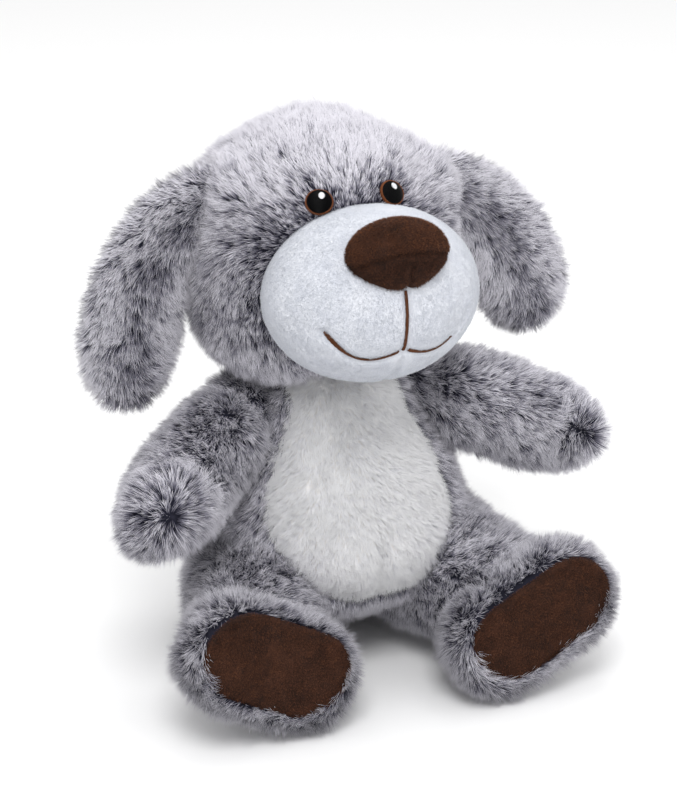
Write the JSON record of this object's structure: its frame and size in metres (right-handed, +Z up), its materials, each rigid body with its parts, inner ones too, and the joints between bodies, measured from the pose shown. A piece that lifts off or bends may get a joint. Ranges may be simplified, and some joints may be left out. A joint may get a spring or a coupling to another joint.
{
  "type": "plush dog",
  "caption": "Sitting soft-toy dog in two-tone grey fur with a white muzzle and tummy, brown nose and soles; head, ears, arms, legs and tail flex at their seams.",
  "frame": {"origin": "on the flat seat, under the middle of the torso, where the toy rests", "axes": "+Z up, -Y the way the dog looks, +X to the dog's left"},
  "size_m": [0.2701, 0.227, 0.279],
  "materials": {
    "grey_fur": "long two-tone pile, dark roots and pale tips",
    "tummy_plush": "soft medium pile",
    "muzzle_plush": "short dense pile",
    "brown_plush": "short dense pile",
    "brown_thread": "satin stitch",
    "copper_thread": "satin stitch",
    "black_thread": "satin stitch, glossy",
    "white_thread": "satin stitch",
    "filling": "loose polyester fibre"
  },
  "bodies": {
    "torso": {"torso_stuffing": "filling", "tummy_panel": "tummy_plush", "torso_side_left": "grey_fur", "torso_side_right": "grey_fur", "back_panel_left": "grey_fur", "back_panel_right": "grey_fur", "seat_panel": "grey_fur"},
    "neck": {"neck_stuffing": "filling"},
    "head": {"head_stuffing": "filling", "head_gusset": "grey_fur", "head_side_left": "grey_fur", "head_side_right": "grey_fur", "nape_panel": "grey_fur", "chin_panel": "grey_fur", "muzzle_stuffing": "filling", "muzzle_panel_left": "muzzle_plush", "muzzle_panel_right": "muzzle_plush", "nose_stuffing": "filling", "nose_top_panel": "brown_plush", "nose_front_panel": "brown_plush", "eye_pupil_left": "black_thread", "eye_pupil_right": "black_thread", "eye_outline_left": "copper_thread", "eye_outline_right": "copper_thread", "eye_highlight_left": "white_thread", "eye_highlight_right": "white_thread", "mouth_line": "brown_thread", "smile_left": "brown_thread", "smile_right": "brown_thread"},
    "tail": {"tail_upper": "grey_fur", "tail_lower": "grey_fur", "tail_stuffing": "filling"},
    "ear_left": {"ear_front_left": "grey_fur", "ear_back_left": "grey_fur", "ear_wadding_left": "filling"},
    "arm_left": {"arm_upper_left": "grey_fur", "arm_lower_left": "grey_fur", "arm_stuffing_left": "filling"},
    "leg_left": {"leg_outer_left": "grey_fur", "leg_inner_left": "grey_fur", "leg_stuffing_left": "filling", "foot_pad_left": "brown_plush"},
    "ear_right": {"ear_front_right": "grey_fur", "ear_back_right": "grey_fur", "ear_wadding_right": "filling"},
    "arm_right": {"arm_upper_right": "grey_fur", "arm_lower_right": "grey_fur", "arm_stuffing_right": "filling"},
    "leg_right": {"leg_outer_right": "grey_fur", "leg_inner_right": "grey_fur", "leg_stuffing_right": "filling", "foot_pad_right": "brown_plush"}
  },
  "joints": [
    {"name": "head_turn", "type": "hinge", "parent": "torso", "child": "neck", "pos_m": [0, 0.014, 0.14], "axis": [0, 0, 1], "range_deg": [-12, 12], "stiffness_Nm_per_rad": 0.5},
    {"name": "head_nod", "type": "hinge", "parent": "neck", "child": "head", "pos_m": [0, 0.014, 0.14], "axis": [1, 0, 0], "range_deg": [-12, 12], "stiffness_Nm_per_rad": 1.2},
    {"name": "tail_wag", "type": "hinge", "parent": "torso", "child": "tail", "pos_m": [0, 0.076, 0.036], "axis": [0, 0, 1], "range_deg": [-30, 30], "stiffness_Nm_per_rad": 0.05},
    {"name": "ear_left_flap", "type": "hinge", "parent": "head", "child": "ear_left", "pos_m": [0.057, 0.011, 0.248], "axis": [0, -1, 0], "range_deg": [0, 80], "stiffness_Nm_per_rad": 0.02},
    {"name": "arm_left_lift", "type": "hinge", "parent": "torso", "child": "arm_left", "pos_m": [0.048, 0.001, 0.131], "axis": [0, -0.866, -0.5], "range_deg": [-4, 25], "stiffness_Nm_per_rad": 0.3},
    {"name": "leg_left_lift", "type": "hinge", "parent": "torso", "child": "leg_left", "pos_m": [0.064, -0.028, 0.08], "axis": [-1, 0, 0], "range_deg": [0, 40], "stiffness_Nm_per_rad": 0.2},
    {"name": "ear_right_flap", "type": "hinge", "parent": "head", "child": "ear_right", "pos_m": [-0.052, 0.011, 0.254], "axis": [0, 1, 0], "range_deg": [0, 80], "stiffness_Nm_per_rad": 0.02},
    {"name": "arm_right_lift", "type": "hinge", "parent": "torso", "child": "arm_right", "pos_m": [-0.048, 0.001, 0.131], "axis": [0, 0.866, 0.5], "range_deg": [-4, 25], "stiffness_Nm_per_rad": 0.3},
    {"name": "leg_right_lift", "type": "hinge", "parent": "torso", "child": "leg_right", "pos_m": [-0.064, -0.028, 0.08], "axis": [-1, 0, 0], "range_deg": [0, 40], "stiffness_Nm_per_rad": 0.2}
  ]
}
